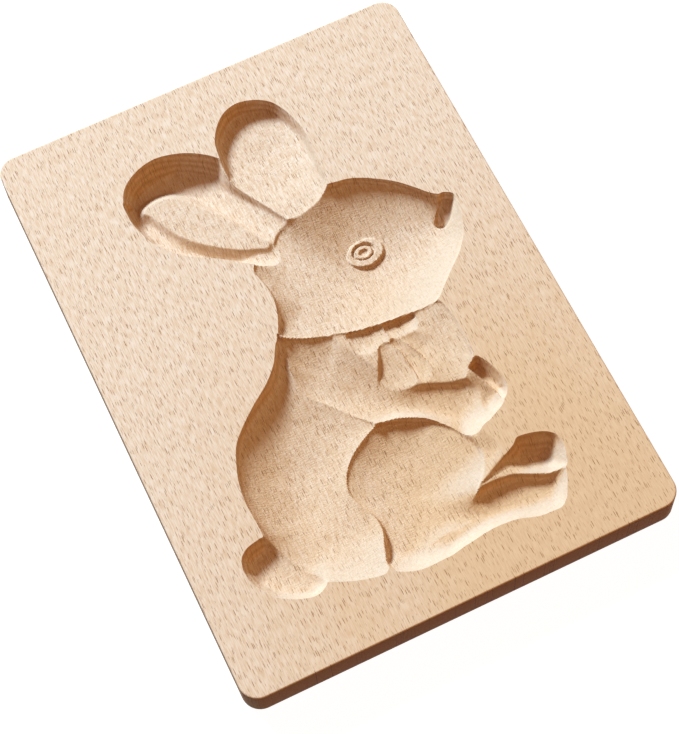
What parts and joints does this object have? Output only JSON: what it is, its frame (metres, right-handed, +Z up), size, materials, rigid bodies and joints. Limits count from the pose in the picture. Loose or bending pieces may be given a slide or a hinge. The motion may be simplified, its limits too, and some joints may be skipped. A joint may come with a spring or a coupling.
{
  "type": "cookie mould",
  "caption": "Flat wooden biscuit mould with rounded corners and a sitting rabbit in a bow carved into its top face as a hollow.",
  "frame": {"origin": "middle of the underside, on the surface that the board lies on", "axes": "+Z up out of the carved face, +Y along the length from the rabbit's feet to its ears, +X across the width towards the rabbit's nose"},
  "size_m": [0.115, 0.16, 0.01],
  "materials": {
    "beech": "bare steamed beech, sanded flat faces and finely milled hollow"
  },
  "bodies": {
    "root": {"mould_board": "beech"}
  },
  "joints": []
}
